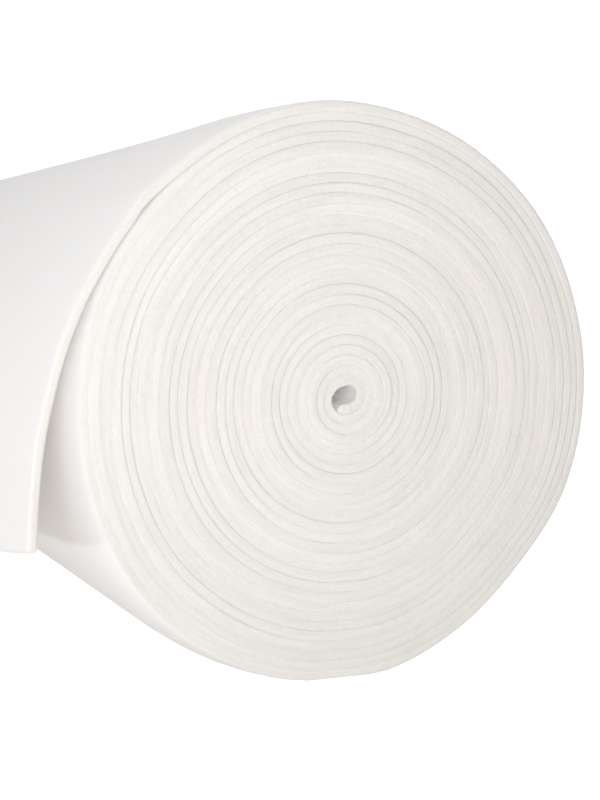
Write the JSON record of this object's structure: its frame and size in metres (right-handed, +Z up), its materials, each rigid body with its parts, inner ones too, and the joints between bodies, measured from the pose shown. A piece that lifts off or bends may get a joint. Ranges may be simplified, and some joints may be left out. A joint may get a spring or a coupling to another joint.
{
  "type": "roll of foam stabilizer",
  "caption": "Thick roll of soft white foam cloth lying on its side, wound without a core, its cut end hanging loose down one flank.",
  "frame": {"origin": "on the surface that the roll rests on, under the middle of its bounding box", "axes": "+Y along the roll, away from the end that is seen first; +Z up; the loose end hangs on the -X side"},
  "size_m": [0.3206, 1.4786, 0.2951],
  "materials": {
    "wound_cloth": "matt white knit faces on a cream open foam, whose cut edges show at the ends",
    "loose_cloth": "matt white fine knit face bonded to thin foam"
  },
  "bodies": {
    "root": {"wound_roll": "wound_cloth", "loose_end": "loose_cloth"}
  },
  "joints": []
}
